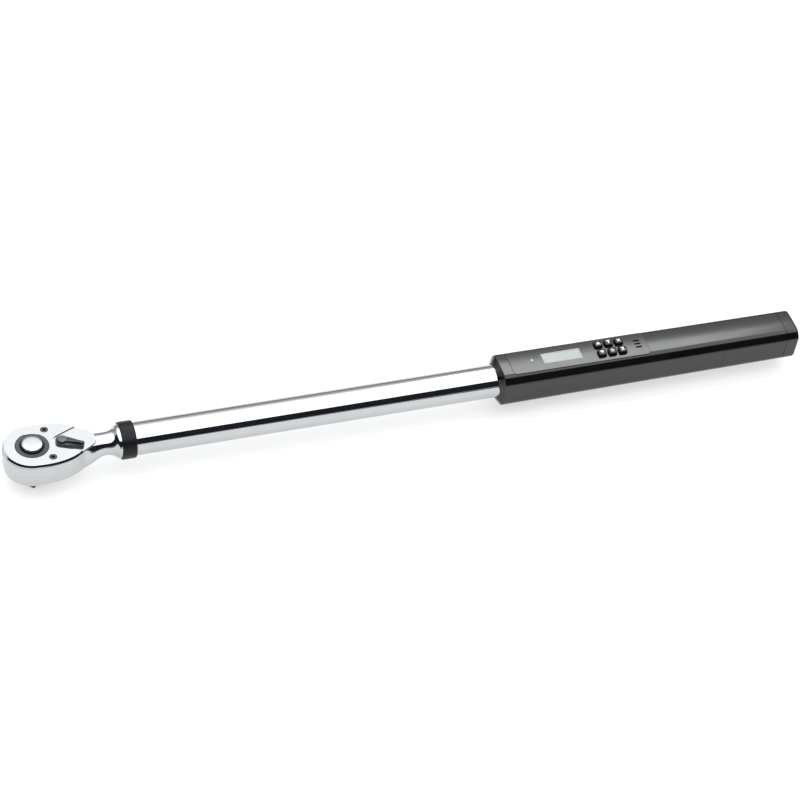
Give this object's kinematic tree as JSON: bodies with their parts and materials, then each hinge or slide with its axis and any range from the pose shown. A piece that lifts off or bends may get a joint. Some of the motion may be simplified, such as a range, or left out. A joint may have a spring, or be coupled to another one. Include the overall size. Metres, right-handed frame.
{
  "type": "torque wrench",
  "caption": "Electronic torque wrench: reversible ratchet head with a male square drive, chromed tube, and a black handle with a display and keys.",
  "frame": {"origin": "on the drive axis, in the plane of the shoulder that a socket seats against", "axes": "+X from the drive axis along the tube to the end of the handle, +Z away from the socket, through the quick-release button and the display side"},
  "size_m": [0.645, 0.0456, 0.0461],
  "materials": {
    "chrome": "mirror",
    "dark_steel": "satin",
    "steel": "satin",
    "lever_black": "semi-gloss",
    "grey_metal": "satin",
    "soft_black": "satin",
    "foil": "satin",
    "lead": "matt",
    "plug": "matt",
    "handle_black": "semi-gloss",
    "panel_black": "satin",
    "window": "clear",
    "display": "satin",
    "lens": "gloss",
    "board": "satin",
    "inner_black": "matt",
    "key_rubber": "matt",
    "cells": "gloss",
    "contact_brass": "satin"
  },
  "bodies": {
    "frame": {"head_body": "chrome", "cover_plate": "chrome", "cover_screws": "dark_steel", "gear_washer": "steel", "pawl_pin": "steel", "collar_ring": "soft_black", "tube": "chrome", "load_beam": "steel", "strain_gauges": "foil", "sensor_lead": "lead", "tube_end_plug": "plug", "handle_shell": "handle_black", "control_panel": "panel_black", "display_window": "window", "display_module": "display", "indicator_lens": "lens", "circuit_board": "board", "board_screws": "steel", "key_domes": "steel", "buzzer": "inner_black", "battery_carrier": "inner_black", "batteries": "cells", "battery_contacts": "contact_brass", "end_cap": "handle_black"},
    "drive": {"drive_gear": "dark_steel", "button_collar": "soft_black", "release_spring": "steel"},
    "button": {"release_button": "chrome", "release_pin": "steel"},
    "ball": {"detent_ball": "steel"},
    "pawl": {"pawl": "steel"},
    "lever": {"reverse_lever": "lever_black", "lever_pivot_cap": "grey_metal"},
    "key_up": {"key_up": "key_rubber"},
    "key_peak": {"key_peak": "key_rubber"},
    "key_clear": {"key_clear": "key_rubber"},
    "key_down": {"key_down": "key_rubber"},
    "key_unit": {"key_unit": "key_rubber"},
    "key_power": {"key_power": "key_rubber"},
    "battery_door": {"battery_door": "handle_black"}
  },
  "joints": [
    {"name": "drive_spin", "type": "hinge", "parent": "frame", "child": "drive", "pos_m": [0, 0, 0], "axis": [0, 0, 1], "continuous": true},
    {"name": "release_press", "type": "slide", "parent": "drive", "child": "button", "axis": [0, 0, -1], "range_m": [0, 0.003], "stiffness_N_per_m": 500, "springref_m": -0.004, "deforming": ["release_spring"]},
    {"name": "ball_retract", "type": "slide", "parent": "drive", "child": "ball", "axis": [0.7071, 0.7071, 0], "range_m": [0, 0.0011]},
    {"name": "lever_swing", "type": "hinge", "parent": "frame", "child": "lever", "pos_m": [0.0229, 0, 0.0135], "axis": [0, 0, 1], "range_deg": [0, 52]},
    {"name": "pawl_rock", "type": "hinge", "parent": "frame", "child": "pawl", "pos_m": [0.017, 0, 0.0135], "axis": [0, 0, 1], "range_deg": [-9.45, 0]},
    {"name": "press_up", "type": "slide", "parent": "frame", "child": "key_up", "axis": [0, 0, -1], "range_m": [0, 0.0009], "stiffness_N_per_m": 350, "springref_m": -0.0015},
    {"name": "press_peak", "type": "slide", "parent": "frame", "child": "key_peak", "axis": [0, 0, -1], "range_m": [0, 0.0009], "stiffness_N_per_m": 350, "springref_m": -0.0015},
    {"name": "press_clear", "type": "slide", "parent": "frame", "child": "key_clear", "axis": [0, 0, -1], "range_m": [0, 0.0009], "stiffness_N_per_m": 350, "springref_m": -0.0015},
    {"name": "press_down", "type": "slide", "parent": "frame", "child": "key_down", "axis": [0, 0, -1], "range_m": [0, 0.0009], "stiffness_N_per_m": 350, "springref_m": -0.0015},
    {"name": "press_unit", "type": "slide", "parent": "frame", "child": "key_unit", "axis": [0, 0, -1], "range_m": [0, 0.0009], "stiffness_N_per_m": 350, "springref_m": -0.0015},
    {"name": "press_power", "type": "slide", "parent": "frame", "child": "key_power", "axis": [0, 0, -1], "range_m": [0, 0.0009], "stiffness_N_per_m": 350, "springref_m": -0.0015},
    {"name": "door_off", "type": "slide", "parent": "frame", "child": "battery_door", "axis": [0, 0, -1], "range_m": [0, 0.03]}
  ],
  "couplings": [
    {"joint": "ball_retract", "follows": "release_press", "ratio": 0.3666},
    {"joint": "pawl_rock", "follows": "lever_swing", "ratio": -0.18146}
  ]
}
